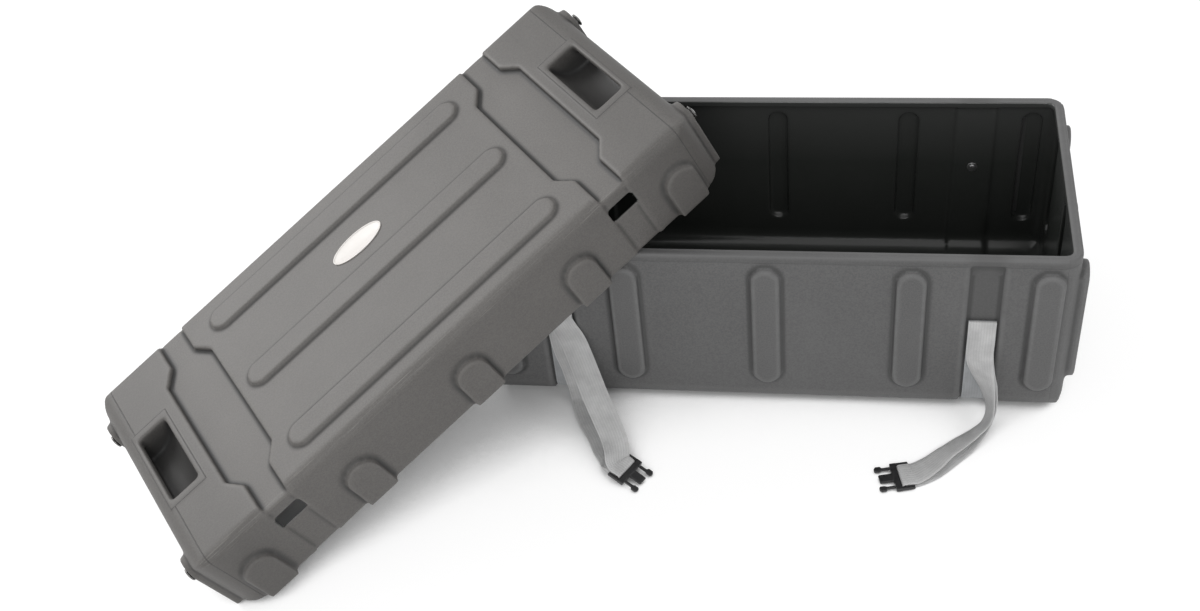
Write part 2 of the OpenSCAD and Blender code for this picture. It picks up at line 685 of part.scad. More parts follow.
base_shell();
belly_strap(-strap_x);  // belly_strap_left
belly_strap(strap_x);  // belly_strap_right
strap_rivets();
rivet_washers();
front_tail_left();
front_tail_right();
rear_tail(-strap_x);  // rear_tail_left
rear_tail(strap_x);  // rear_tail_right
male_buckle(left_bar, left_turn, left_tilt);  // male_buckle_left
male_buckle(right_bar, right_turn, 0);  // male_buckle_right
prong(left_bar, left_turn, left_tilt, 1);  // prong_left_a
prong(left_bar, left_turn, left_tilt, -1);  // prong_left_b
prong(right_bar, right_turn, 0, 1);  // prong_right_a
prong(right_bar, right_turn, 0, -1);  // prong_right_b
female_buckle([-strap_x, half_w + rear_reach, rear_bar_z]);  // female_buckle_left
female_buckle([strap_x, half_w + rear_reach, rear_bar_z]);  // female_buckle_right
lid_shell();
badge_plate();
glide_discs();
glide_rivets();
glide_washers();
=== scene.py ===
# %% [markdown]
# A moulded case for drum stands, with its lid leaning on the tub.
# The tub and the lid are hollow shells of one grey plastic, made by turning a hot
# mould. Everything on them is soft: edges are round, corners swell a little, and
# the skin is finely pitted. Two webbing belts and their buckles hang off the tub.
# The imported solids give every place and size, and this script gives them their looks.

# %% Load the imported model
import math

import bpy
import numpy as np
from mathutils import Euler, Matrix, Vector
from mathutils.bvhtree import BVHTree


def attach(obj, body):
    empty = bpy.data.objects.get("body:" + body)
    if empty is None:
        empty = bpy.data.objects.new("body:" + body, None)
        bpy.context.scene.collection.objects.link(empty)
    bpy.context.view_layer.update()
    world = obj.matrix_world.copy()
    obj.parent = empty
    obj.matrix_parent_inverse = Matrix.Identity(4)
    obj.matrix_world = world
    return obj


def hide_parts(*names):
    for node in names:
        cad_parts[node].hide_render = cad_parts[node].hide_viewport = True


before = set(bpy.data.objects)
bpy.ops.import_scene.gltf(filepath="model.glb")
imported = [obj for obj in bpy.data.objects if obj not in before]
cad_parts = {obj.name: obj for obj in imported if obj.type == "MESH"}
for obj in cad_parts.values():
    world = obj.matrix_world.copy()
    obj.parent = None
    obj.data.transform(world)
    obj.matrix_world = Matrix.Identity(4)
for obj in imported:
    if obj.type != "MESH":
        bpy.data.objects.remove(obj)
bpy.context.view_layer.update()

# %% [markdown]
# The camera stands in front of the case, a little to its right, and looks down at it.
# Its place was solved from the rims, ribs and glides, whose real places are known.
# Its rotation is written as the picture's right, down and depth directions, which is
# easier to check against a solved camera than three angles would be.

# %% Camera
CAMERA_PLACE = (0.11517, -1.77816, 1.71516)
SENSOR_MM, LENS_MM = 36, 46.629
right = Vector((0.98718, 0.13101, -0.09117))
down = Vector((0.02435, -0.68813, -0.72518))
depth = Vector((-0.15774, 0.71367, -0.68249))
turn = Matrix((right, -down, -depth)).transposed()
lens = bpy.data.cameras.new("camera")
lens.sensor_width = SENSOR_MM
lens.lens = LENS_MM
lens.clip_start = 0.05
camera = bpy.data.objects.new("camera", lens)
camera.matrix_world = Matrix.Translation(CAMERA_PLACE) @ turn.to_4x4()
bpy.context.scene.collection.objects.link(camera)
bpy.context.scene.camera = camera
bpy.context.scene.view_settings.view_transform = "Standard"
print("camera at", tuple(round(v, 3) for v in camera.location), "lens", lens.lens)

# %% [markdown]
# The few sizes here are the real ones, in metres. The lid has a frame of its own: its
# middle lies at the centre of its open rim, X runs along it and Z points out of its
# top. It leans on two rims of the tub, so that frame is turned and tilted. A buckle is
# given by the middle of the bar that its belt goes round, and by how it lies.

# %% Sizes that the pieces share
HALF_W = 0.185
STRAP_X = 0.3
STRAP_W, STRAP_T = 0.038, 0.002
FOLD_Y, FOLD_Z, FOLD_R = 0.1848, 0.176, 0.0015
TURN_R = 0.00315
LID_PLACE = (Matrix.Translation((-0.494824, -0.200293, 0.182459))
             @ Euler((0, math.radians(-23.6), math.radians(40))).to_matrix().to_4x4())
BUCKLE_BARS = {"left": Vector((-0.197, -0.337, 0.013)), "right": Vector((0.196, -0.323, 0.00445))}
BUCKLE_TURNS = {"left": math.radians(-30), "right": math.radians(-166.4)}
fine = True
print("lid at", tuple(round(v, 3) for v in LID_PLACE.translation))


# %% [markdown]
# Every operator acts on what is selected, and the loaded solids come in selected, so a
# helper clears the selection and takes one piece in hand. Another applies a modifier.

# %% Small helpers
def take(piece):
    bpy.ops.object.select_all(action="DESELECT")
    piece.select_set(True)
    bpy.context.view_layer.objects.active = piece


def apply_modifier(piece, kind, **values):
    take(piece)
    modifier = piece.modifiers.new(kind.title(), kind)
    for name, value in values.items():
        setattr(modifier, name, value)
    bpy.ops.object.modifier_apply(modifier=modifier.name)


def triangles(piece):
    return sum(len(face.vertices) - 2 for face in piece.data.polygons)


# %% [markdown]
# A moulded skin has no sharp edge. A bevel would need clean edges, and these shells meet
# in too many ways for one. So a copy of a solid is merged, wrapped in an even skin of
# small squares, and smoothed, which rounds each edge by about a square's width. Some
# places are rounder than others: the ribs and corners swell softly, and the steps beside
# the belt channels are crisp. The round places get further passes of smoothing. The lid
# is treated in its own upright frame, because the squares follow the axes.

# %% Soften a solid
def merged_copy(node, name):
    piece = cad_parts[node].copy()
    piece.data = piece.data.copy()
    piece.name = name
    piece.parent = None
    piece.matrix_world = Matrix()
    bpy.context.scene.collection.objects.link(piece)
    take(piece)
    bpy.ops.object.mode_set(mode="EDIT")
    bpy.ops.mesh.select_all(action="SELECT")
    bpy.ops.mesh.customdata_custom_splitnormals_clear()
    bpy.ops.mesh.remove_doubles(threshold=0.000002)
    bpy.ops.object.mode_set(mode="OBJECT")
    piece.data.materials.clear()
    return piece


def points_of(mesh, what="co"):
    values = np.empty(len(mesh.vertices) * 3)
    mesh.vertices.foreach_get(what, values)
    return values.reshape(-1, 3)


def soften(node, name, square, place=Matrix(), rounder=()):
    piece = merged_copy(node, name)
    piece.data.transform(place.inverted())
    apply_modifier(piece, "REMESH", mode="VOXEL", voxel_size=square, use_smooth_shade=True)
    apply_modifier(piece, "SMOOTH", factor=0.5, iterations=2)
    for where, passes in rounder:
        x, y, z = points_of(piece.data).T
        group = piece.vertex_groups.new(name="rounder")
        group.add(np.flatnonzero(where(abs(x), abs(y), z)).tolist(), 1.0, "REPLACE")
        apply_modifier(piece, "SMOOTH", factor=0.5, iterations=passes, vertex_group="rounder")
        piece.vertex_groups.clear()
    return piece


def finish_shell(piece, node, most, place=Matrix()):
    before = triangles(piece)
    if before > most:
        apply_modifier(piece, "DECIMATE", ratio=most / before)
    piece.data.transform(place)
    take(piece)
    bpy.ops.object.shade_smooth()
    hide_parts(node)
    print(piece.name, "triangles:", before, "to", triangles(piece))


# %% [markdown]
# Facts about each point of a shell steer its colour, and are stored as attributes.
# "bulge" says how far the skin stands proud of its smoothed self. It steers a painted
# highlight on the round edges and painted shade in the grooves. "inside" says whether
# the point is in the hollow, where the skin never touched the mould: a straight line
# from it reaches the hollow's middle.

# %% Mark edges and insides
def mark_bulge(piece, passes, pull=0.7):
    mesh = piece.data
    points, normals = points_of(mesh), points_of(mesh, "normal")
    pairs = np.empty(len(mesh.edges) * 2, dtype=np.int64)
    mesh.edges.foreach_get("vertices", pairs)
    ends = np.concatenate([pairs[0::2], pairs[1::2]])
    others = np.concatenate([pairs[1::2], pairs[0::2]])
    links = np.maximum(np.bincount(ends, minlength=len(points)), 1)
    soft = points.copy()
    for _ in range(passes):
        sums = np.stack([np.bincount(ends, soft[others, k], len(points)) for k in range(3)], axis=1)
        soft = (1 - pull) * soft + pull * sums / links[:, None]
    bulge = ((points - soft) * normals).sum(axis=1) * 1000
    layer = mesh.attributes.new("bulge", "FLOAT", "POINT")
    layer.data.foreach_set("value", bulge.astype(np.float32))
    print(piece.name, "bulge in mm:", np.percentile(bulge, [1, 5, 50, 95, 99]).round(2))


def mark_inside(piece, place, middle_z):
    mesh = piece.data
    tree = BVHTree.FromObject(piece, bpy.context.evaluated_depsgraph_get())
    inverse = place.inverted()
    inside = np.zeros(len(mesh.vertices), dtype=np.float32)
    for vertex in mesh.vertices:
        local = inverse @ vertex.co
        goal = place @ Vector((local.x * 0.7, local.y * 0.2, middle_z))
        start = vertex.co + vertex.normal * 0.0003
        way = goal - start
        if tree.ray_cast(start, way.normalized(), way.length)[0] is None:
            inside[vertex.index] = 1
    layer = mesh.attributes.new("inside", "FLOAT", "POINT")
    layer.data.foreach_set("value", inside)
    print(piece.name, "inside share:", round(float(inside.mean()), 2))


# %% [markdown]
# Materials are made of nodes. A short helper adds a node, sets its values and links
# its inputs, so that each recipe below reads as a list of steps. "spread" stretches a
# value from one range to another and stops at the ends, and "near" is 1 close to a
# value and 0 away from it, which draws a thin line or a band.

# %% Node helper
class Recipe:
    def __init__(self, name):
        self.material = bpy.data.materials.new(name)
        self.material.use_nodes = True
        self.tree = self.material.node_tree
        self.shader = self.tree.nodes["Principled BSDF"]

    def feed(self, socket, value):
        if isinstance(value, bpy.types.NodeSocket):
            self.tree.links.new(value, socket)
        else:
            socket.default_value = value

    def add(self, kind, inputs=(), **values):
        node = self.tree.nodes.new(kind)
        for name, value in values.items():
            setattr(node, name, value)
        for name, value in dict(inputs).items():
            self.feed(node.inputs[name], value)
        return node

    def math(self, operation, *values):
        return self.add("ShaderNodeMath", dict(enumerate(values)), operation=operation).outputs[0]

    def times(self, a, b):
        return self.math("MULTIPLY", a, b)

    def noise(self, where, scale, detail=2.0, rough=0.5):
        return self.add("ShaderNodeTexNoise", {"Vector": where, "Scale": scale, "Detail": detail,
                                               "Roughness": rough}).outputs["Fac"]

    def stretched(self, where, scale):
        return self.add("ShaderNodeMapping", {"Vector": where, "Scale": scale}).outputs[0]

    def spread(self, value, low, high, to_low=0.0, to_high=1.0):
        return self.add("ShaderNodeMapRange", {"Value": value, "From Min": low, "From Max": high,
                                               "To Min": to_low, "To Max": to_high}).outputs[0]

    def near(self, value, middle, half):
        return self.spread(self.math("ABSOLUTE", self.math("SUBTRACT", value, middle)),
                           half * 1.5, half * 0.5)

    def mix(self, amount, a, b):
        node = self.add("ShaderNodeMix", {0: amount, 6: a, 7: b}, data_type="RGBA")
        return node.outputs[2]

    def bump(self, height, distance, strength=1.0, under=None):
        inputs = {"Height": height, "Distance": distance, "Strength": strength}
        if under:
            inputs["Normal"] = under
        return self.add("ShaderNodeBump", inputs).outputs[0]

    def shade(self, **sockets):
        for name, value in sockets.items():
            self.feed(self.shader.inputs[name.replace("_", " ").title()], value)
        return self.material


def grey(level, warmth=0.0):
    return (level * (1 + warmth), level, level * (1 - warmth), 1.0)


# %% [markdown]
# The moulded plastic starts as one grey with faint cloudy patches, a fine grain and a
# few long smears. Everything else is the same grey, tinted darker or paler by a share:
# 1.6 means 1.6 times as bright. The lid's skin is read in the lid's own frame, so that
# a place on it can be named by how far along, across and up it lies.

# %% Plain skin
class Skin(Recipe):
    def __init__(self, name, level, warmth, place=None):
        super().__init__(name)
        self.level, self.warmth = level, warmth
        where = self.add("ShaderNodeTexCoord").outputs["Object"]
        if place:
            where = self.add("ShaderNodeMapping", {
                "Vector": where, "Location": place.translation, "Rotation": place.to_euler()},
                vector_type="TEXTURE").outputs[0]
        self.where = where
        along, self.y, self.z = self.add("ShaderNodeSeparateXYZ", {0: where}).outputs
        self.x, self.wide = self.math("ABSOLUTE", along), self.math("ABSOLUTE", self.y)
        self.inside = self.add("ShaderNodeAttribute", attribute_name="inside").outputs["Fac"]
        self.bulge = self.add("ShaderNodeAttribute", attribute_name="bulge").outputs["Fac"]
        self.clouds = self.noise(where, 7, 4, 0.6)
        self.grain = self.noise(where, 430, 4, 0.75)
        self.smears = self.noise(self.stretched(where, (6, 60, 40)), 1.5, 5, 0.65)
        self.colour = self.mix(self.spread(self.clouds, 0.35, 0.68),
                               grey(level * 0.93, warmth), grey(level * 1.07, warmth))
        self.tint(self.spread(self.grain, 0.42, 0.7, 0.0, 0.45), 1.6)
        self.tint(self.spread(self.grain, 0.55, 0.3, 0.0, 0.35), 0.5)
        self.tint(self.times(self.spread(self.smears, 0.64, 0.8), 0.16), 1.8)

    def tint(self, amount, share, warm=True):
        goal = grey(self.level * share, self.warmth if warm else 0.0)
        self.colour = self.mix(amount, self.colour, goal)


# %% [markdown]
# The tub gets a painted highlight along its ribs and corners and painted shade in its
# steps. Its belt channels and the band under its rim get painted shade, and a thin pale
# line along the top of the rim is a painted highlight. Thin lines mark the lip of the
# rim and the mould's joint at each end of the long walls.

# %% Painted light and seams of the tub
TUB_LIP_Z, TUB_RIM_Z, TUB_JOINT_X = 0.2795, 0.2905, 0.405


def paint_tub_light_and_seams(s):
    # painted highlight: the round ribs and corners are made paler
    s.tint(s.times(s.spread(s.bulge, 0.04, 0.26), s.spread(s.smears, 0.3, 0.7, 0.25, 0.65)), 1.7)
    # painted shade in the belt channels, above the belts
    channel = s.times(s.near(s.x, STRAP_X, 0.024), s.spread(s.z, 0.16, 0.2))
    s.tint(s.times(channel, 0.5), 0.45)
    # painted shade on the band under the rim
    s.tint(s.spread(s.z, TUB_LIP_Z - 0.001, TUB_LIP_Z + 0.001, 0, 0.3), 0.62)
    # painted highlight: a thin pale line along the top of the rim
    s.tint(s.times(s.near(s.z, TUB_RIM_Z, 0.0014), 0.15), 1.9)
    # painted shade in the steps and grooves
    s.tint(s.spread(s.bulge, -0.05, -0.3, 0, 0.62), 0.16, warm=False)
    lip = s.near(s.z, TUB_LIP_Z, 0.0008)
    joint = s.times(s.near(s.x, TUB_JOINT_X, 0.0005), s.math("GREATER_THAN", s.wide, 0.18))
    line = s.math("MAXIMUM", s.times(lip, 0.5), s.times(joint, 0.35))
    s.tint(s.times(line, 0.6), 0.4, warm=False)
    return line


# %% [markdown]
# The lid gets a painted highlight on its round edges too, most of all in pale strands
# along its two long top edges, which are partly wear and partly painted highlight. Its
# ends get painted shade and are a little darker, its grooves get painted shade, and
# its grip pockets are painted dark inside as painted shade. Thin lines run along the
# end caps, round the pockets and beside the three long ribs.

# %% Wear, painted light and seams of the lid
LID_CAP_X = 0.4165
LID_RIBS, LID_RIB_HALF, LID_RIB_END = (-0.14, 0.0, 0.14), 0.0225, 0.225
POCKET_X, POCKET_HALF_X, POCKET_HALF_Y = 0.392, 0.032, 0.0795


def paint_lid_light_wear_and_seams(s):
    # painted highlight: the lid's round edges are made paler
    s.tint(s.times(s.spread(s.bulge, 0.15, 1.0), s.spread(s.smears, 0.3, 0.7, 0.15, 0.6)), 1.7)
    # painted shade: the lid is darker towards its ends
    s.tint(s.spread(s.x, 0.30, 0.37, 0, 0.26), 0.4)
    # pale strands along the long top edges: partly wear, partly painted highlight
    strand = s.noise(s.stretched(s.where, (5, 220, 220)), 2.2, 5, 0.7)
    top_edge_wear_and_highlight = s.times(s.spread(s.wide, 0.179, 0.188), s.spread(s.z, 0.116, 0.124))
    s.tint(s.times(top_edge_wear_and_highlight, s.spread(strand, 0.54, 0.74, 0, 0.62)), 3.0)
    # painted shade in the grooves and at the ribs' feet
    s.tint(s.spread(s.bulge, -0.08, -0.65, 0, 0.92), 0.16, warm=False)
    line = lid_seams(s)
    s.tint(s.times(line, 0.6), 0.4, warm=False)
    # painted shade: the grip pockets are darker inside, deeper down
    pocket_shade = s.times(s.math("GREATER_THAN", s.x, POCKET_X - 0.037),
                     s.times(s.math("LESS_THAN", s.x, POCKET_X + 0.032),
                             s.math("LESS_THAN", s.wide, 0.075)))
    s.tint(s.times(pocket_shade, s.spread(s.z, 0.128, 0.105, 0, 0.75)), 0.3, warm=False)
    return line


def lid_seams(s):
    cap = s.times(s.near(s.x, LID_CAP_X, 0.0006), s.math("GREATER_THAN", s.wide, POCKET_HALF_Y))
    past_x = s.math("SUBTRACT", s.math("ABSOLUTE", s.math("SUBTRACT", s.x, POCKET_X)), POCKET_HALF_X)
    past_y = s.math("SUBTRACT", s.wide, POCKET_HALF_Y)
    border = s.times(s.near(s.math("MAXIMUM", past_x, past_y), 0.0, 0.0005),
                     s.math("GREATER_THAN", s.z, 0.12))
    line = s.math("MAXIMUM", cap, border)
    for rib in LID_RIBS:
        side = s.times(s.near(s.y, rib + LID_RIB_HALF, 0.0004), s.math("LESS_THAN", s.x, LID_RIB_END))
        line = s.math("MAXIMUM", line, s.times(side, 0.7))
    return line


# %% [markdown]
# Inside, the plastic never touched the mould, so it is smooth. Its dark colour there is
# partly that smooth inner skin and partly painted shade, and the tub's lining is painted
# paler towards the rim as painted light on the upper walls. The skin has three bumps: a
# slow waviness that a cooling shell always keeps, a fine pitting of about a millimetre,
# and the thin lines.

# %% Moulded plastic
def moulded(name, level, warmth, lid=False):
    s = Skin(name, level, warmth, LID_PLACE if lid else None)
    line = paint_lid_light_wear_and_seams(s) if lid else paint_tub_light_and_seams(s)
    # the dark lining is partly the smooth inner skin and partly painted shade
    lining_and_painted_light = s.mix(s.clouds, (0.026, 0.028, 0.026, 1), (0.040, 0.043, 0.040, 1))
    # painted light: the tub's lining is paler towards the rim
    if not lid:
        lining_and_painted_light = s.mix(s.spread(s.z, 0.17, 0.27, 0, 0.8), lining_and_painted_light, (0.078, 0.080, 0.078, 1))
    rough = s.add("ShaderNodeMix", {"Factor": s.inside, "A": s.spread(s.grain, 0.3, 0.7, 0.48, 0.62),
                                    "B": 0.24}).outputs[0]
    waves = s.bump(s.noise(s.where, 22, 1), 0.0012, 0.5)
    pits = s.bump(s.grain, 0.0004, s.math("SUBTRACT", 0.6, s.times(s.inside, 0.5)), waves)
    return s.shade(base_color=s.mix(s.inside, s.colour, lining_and_painted_light), roughness=rough,
                   normal=s.bump(line, 0.0008, 0.8, pits))


tub_skin = moulded("tub_skin", 0.118, 0.0)
lid_skin = moulded("lid_skin", 0.114, 0.05, lid=True)
print("moulded skins:", tub_skin.name, lid_skin.name)

# %% [markdown]
# The two shells. Both keep their solids' shape and get the soft skin. A place that is
# rounder is chosen by its distance along, across and up.

# %% Tub and lid
TUB_MOST, LID_MOST = 190000, 195000
tub = soften("base_shell", "tub", 0.003, rounder=[
    (lambda x, y, z: (z < 0.272) & (abs(x - STRAP_X) > 0.032), 2),
    (lambda x, y, z: (z > 0.26) & (z < 0.279) & (abs(x - STRAP_X) < 0.0205) & (y > 0.17), 16)])
mark_bulge(tub, 3)
finish_shell(tub, "base_shell", TUB_MOST)
mark_inside(tub, Matrix(), 0.15)

lid = soften("lid_shell", "lid", 0.0025, LID_PLACE, rounder=[
    (lambda x, y, z: (x < 0.25) | (x > 0.362), 5),
    (lambda x, y, z: (x > 0.358) & (x < 0.427) & (y < 0.076) & (z > 0.06), 9),
    (lambda x, y, z: (z < 0.085) & (y > 0.188) & (abs(x - STRAP_X) > 0.03), 8)])
mark_bulge(lid, 6)
finish_shell(lid, "lid_shell", LID_MOST, LID_PLACE)
mark_inside(lid, LID_PLACE, 0.05)
for piece, body, skin, slot in ((tub, "tub", tub_skin, "tub_plastic"),
                                (lid, "lid", lid_skin, "lid_plastic")):
    piece.data.materials.append(skin)
    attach(piece, body)


# %% [markdown]
# Webbing is a flat woven belt. Its weave follows the belt and not the room, so each
# belt carries a map of its own: across it in metres, and along it in metres. The
# pattern is fine ribs across the belt, broken into narrow columns, with firm edges, and
# the hollows of the weave get painted shade. The loose ends are the same webbing as the
# belts in the channels, given a paler copy as painted light.

# %% Webbing material
COLUMN_W, RIB_PITCH = 0.0038, 0.0017


def woven(name, level, warmth):
    r = Recipe(name)
    split = r.add("ShaderNodeSeparateXYZ", {0: r.add("ShaderNodeUVMap", uv_map="belt").outputs[0]})
    across, along = split.outputs[0], split.outputs[1]
    slant = r.math("ADD", along, r.times(r.math("PINGPONG", across, COLUMN_W / 2), 0.9))
    rib = r.math("SINE", r.times(slant, 2 * math.pi / RIB_PITCH))
    column = r.math("SINE", r.times(across, 2 * math.pi / COLUMN_W))
    height = r.math("ADD", r.times(rib, 0.5), r.times(column, 0.3))
    where = r.add("ShaderNodeTexCoord").outputs["Object"]
    patches, fuzz = r.noise(where, 45, 4, 0.6), r.noise(where, 1500, 2)
    colour = r.mix(r.spread(patches, 0.35, 0.7), grey(level * 0.86, warmth), grey(level * 1.1, warmth))
    # painted shade in the hollows of the weave
    colour = r.mix(r.spread(height, -0.2, -0.8, 0, 0.5), colour, grey(level * 0.45, warmth))
    from_edge = r.math("PINGPONG", across, STRAP_W / 2)
    colour = r.mix(r.spread(from_edge, 0.0022, 0.0012, 0, 0.35), colour, grey(level * 1.25, warmth))
    colour = r.mix(r.times(fuzz, 0.25), colour, grey(level * 1.3, warmth))
    return r.shade(base_color=colour, roughness=0.82, normal=r.bump(height, 0.0004, 0.8),
                   sheen_weight=0.25, sheen_roughness=0.5)


# the loose ends use a paler copy of the same webbing, a painted light
belt_weave = woven("belt_weave", 0.48, -0.03)
loose_weave_painted_paler = woven("loose_weave_painted_paler", 0.68, 0.0)
print("weaves:", belt_weave.name, loose_weave_painted_paler.name)


# %% [markdown]
# A belt is modelled directly: rings of points, each a flat oval, follow its middle line.
# A bent plane would lose its weave's direction at the turns, and these rings keep it. A
# closed list of rings makes a doubled loop, whose two layers lie close together.

# %% Build a belt
def flat_oval():
    w, t = STRAP_W / 2, STRAP_T / 2
    top = [(-w, 0.3 * t), (-0.965 * w, 0.85 * t), (-0.6 * w, t), (-0.2 * w, t),
           (0.2 * w, t), (0.6 * w, t), (0.965 * w, 0.85 * t), (w, 0.3 * t)]
    return top + [(x, -z) for x, z in reversed(top)]


def belt_frames(rings, closed):
    centres = np.array([ring[0] for ring in rings])
    sides = np.array([ring[1] for ring in rings], dtype=float)
    ahead = np.roll(centres, -1, axis=0) - np.roll(centres, 1, axis=0)
    if not closed:
        ahead[0], ahead[-1] = centres[1] - centres[0], centres[-1] - centres[-2]
    ahead /= np.linalg.norm(ahead, axis=1)[:, None]
    sides -= ahead * (sides * ahead).sum(axis=1)[:, None]
    sides /= np.linalg.norm(sides, axis=1)[:, None]
    steps = np.linalg.norm(np.roll(centres, -1, axis=0) - centres, axis=1)
    return centres, sides, np.cross(ahead, sides), np.concatenate([[0], np.cumsum(steps)])


def belt_faces(oval, along, count, closed):
    n, faces, marks = len(oval), [], []
    for i in range(count if closed else count - 1):
        j = (i + 1) % count
        for k in range(n):
            m = (k + 1) % n
            faces.append((i * n + k, i * n + m, j * n + m, j * n + k))
            u, v = oval[k][0] + STRAP_W / 2, oval[m][0] + STRAP_W / 2
            marks.append(((u, along[i]), (v, along[i]), (v, along[i + 1]), (u, along[i + 1])))
    if not closed:
        for first, flip in ((0, False), ((count - 1) * n, True)):
            ring = list(range(first, first + n))
            faces.append(tuple(ring if flip else reversed(ring)))
            marks.append([(STRAP_W / 2, 0)] * n)
    return faces, marks


def belt(name, rings, closed):
    centres, sides, ups, along = belt_frames(rings, closed)
    oval = flat_oval()
    points = [tuple(centres[i] + sides[i] * x + ups[i] * z) for i in range(len(rings)) for x, z in oval]
    faces, marks = belt_faces(oval, along, len(rings), closed)
    mesh = bpy.data.meshes.new(name)
    mesh.from_pydata(points, [], faces)
    layer = mesh.uv_layers.new(name="belt")
    layer.data.foreach_set("uv", [value for face in marks for point in face for value in point])
    piece = bpy.data.objects.new(name, mesh)
    bpy.context.scene.collection.objects.link(piece)
    take(piece)
    bpy.ops.object.mode_set(mode="EDIT")
    bpy.ops.mesh.select_all(action="SELECT")
    bpy.ops.mesh.normals_make_consistent(inside=False)
    bpy.ops.object.mode_set(mode="OBJECT")
    bpy.ops.object.shade_smooth_by_angle(angle=math.radians(50))
    print(name, "length:", round(float(along[-1 if closed else -2]), 3), "faces:", len(faces))
    return piece


# %% [markdown]
# The loose ends fall out of their channels, touch the floor, run to a buckle's bar and
# come back underneath. Each ring is written in millimetres as its place along the wall,
# out from the wall and up, with the direction across the belt. A rear end hangs straight,
# so its rings need only the last two.

# %% Routes of the loose ends
RIGHT_OUT = [
    [(0, 3, 145), (38, -1, 0)], [(0, 7.2, 112), (37, -7, 5)], [(5.3, 12.8, 88), (29, -19, 16)],
    [(13.4, 18.5, 65), (18, -25, 22)], [(18.1, 29, 49), (10, -26, 26)], [(18.4, 40, 37), (8, -27, 25)],
    [(12.9, 51.7, 27.5), (10, -27, 25)], [(-0.6, 63.5, 20), (13, -26, 24)],
    [(-20, 79, 15.8), (18, -26, 21)], [(-43, 98, 14.1), (21, -28, 17)],
    [(-63.3, 117.4, 10.4), (17, -33, 9)]]
RIGHT_BACK = [
    [(-66, 122, 1.8), (13, -36, 0)], [(-51, 108, 2.3), (16, -34, 0)], [(-36, 92, 2.6), (18, -33, 0)],
    [(-18, 75, 4.5), (17, -33, 4)], [(-1.5, 61, 9.8), (14, -32, 13)], [(11.5, 50, 18.8), (10, -30, 21)],
    [(20, 39.5, 31), (7, -28, 25)], [(22, 28.5, 46), (9, -26, 26)], [(17, 15.7, 64), (18, -25, 22)],
    [(7.4, 9.7, 87), (29, -19, 16)], [(0.8, 4.1, 112), (37, -7, 5)], [(0, -1.2, 143), (38, -0.6, 0)]]
LEFT_OUT = [
    [(7, 3.4, 148), (37, 0, 5)], [(18, 9, 127), (36, 6, 9)], [(29, 23, 106), (35, 11, 8)],
    [(42, 45, 87), (34, 14, 8)], [(56, 69, 68), (33, 16, 10)], [(72, 94, 50), (31, 18, 12)],
    [(85.5, 118, 36), (29, 21, 12)], [(90, 131.5, 28), (23, 29.5, 5)]]
LEFT_BACK = [
    [(79, 125, 8), (21, 31, 0)], [(68, 106, 3), (26, 28, 0)], [(57, 82, 1.8), (29, 24, 0)],
    [(43, 58, 1.7), (33, 18, 0)], [(32, 34, 1.7), (36, 11, 0)], [(26, 19, 2.2), (37, 7, 0)],
    [(23, 10, 6), (38, 4, 0)], [(20.5, 6.4, 15), (38, 2, 2)], [(17, 4.6, 34), (38, 0, 4)],
    [(12, 3.2, 64), (38, 0, 4)], [(5, 2.2, 94), (38, 0, 3)], [(1, 0.3, 120), (38, 0, 0)],
    [(0, -1.5, 142), (38, 0, 0)]]
REAR_OUT = [[(0, y, z), (1, 0, 0)] for y, z in (
    (3, 140), (4, 90), (5, 45), (8, 24), (17, 12), (34, 8), (70, 7), (100, 8))]
REAR_BACK = [[(0, y, z), (1, 0, 0)] for y, z in (
    (110, 2), (84, 1.3), (50, 1.3), (24, 1.3), (10, 3), (3, 9), (0.5, 22), (-0.6, 45),
    (-1.5, 90), (-1.5, 140))]
print("rings:", len(RIGHT_OUT + RIGHT_BACK), len(LEFT_OUT + LEFT_BACK), len(REAR_OUT + REAR_BACK))


# %% [markdown]
# A loose end's loop goes round two bends: over the fold at the top of its channel, and
# round its buckle's bar. Each bend has a straight lead on both sides, which keeps the
# two layers parallel there. On the left the buckle lies tilted, and its upper layer has
# a shorter lead. A smooth curve then joins all the rings.

# %% Bends and smooth curves
FOLD_LEAD, BAR_LEAD, LEFT_LEAD, LEFT_TILT = 0.011, 0.019, 0.014, math.radians(18)
BETWEEN = 5


def beside(rings, side, x):
    return [((x + p[0] / 1000, side * (HALF_W + p[1] / 1000), p[2] / 1000), s) for p, s in rings]


def bend(radius, lead):
    straight = [(-share * lead, radius) for share in (1, 0.32, 0.08)]
    curve = [(radius * math.cos(math.radians(a)), radius * math.sin(math.radians(a)))
             for a in (90, 45, 0, -45, -90)]
    return straight + curve + [(x, -y) for x, y in reversed(straight)]


def around_bar(bar, way, up, side, upper_lead=BAR_LEAD):
    places = bend(TURN_R, upper_lead)[:3] + bend(TURN_R, BAR_LEAD)[3:]
    return [(bar + way * x + up * y, side) for x, y in places]


def over_fold(x, side):
    return [((x, side * (FOLD_Y + v), FOLD_Z + h), (1, 0, 0))
            for h, v in reversed(bend(FOLD_R, FOLD_LEAD))]


def smooth_curve(rings):
    points = [np.array(ring[0], dtype=float) for ring in rings]
    sides = [np.array(ring[1], dtype=float) / np.linalg.norm(ring[1]) for ring in rings]
    count, result = len(rings), []
    for i in range(count):
        a, b, c, d = (points[(i + k) % count] for k in (-1, 0, 1, 2))
        reach = np.linalg.norm(c - b)
        leave = (c - a) / np.linalg.norm(c - a) * reach
        arrive = (d - b) / np.linalg.norm(d - b) * reach
        for t in np.arange(BETWEEN) / BETWEEN:
            point = (b + (c - b) * t * t * (3 - 2 * t) + leave * t * (1 - t) ** 2
                     - arrive * t * t * (1 - t))
            result.append((point, sides[i] * (1 - t) + sides[(i + 1) % count] * t))
    return result


# %% [markdown]
# The belts in the channels go down the front wall, under the tub and up the back wall.
# Their route is straight lines and two quarter turns. The front ends follow the routes
# above to their tilted or flat buckles, and the rear ends lie straight out behind.

# %% Belts and loose ends
REAR_BAR_Y, REAR_BAR_Z = 0.31, 0.0057


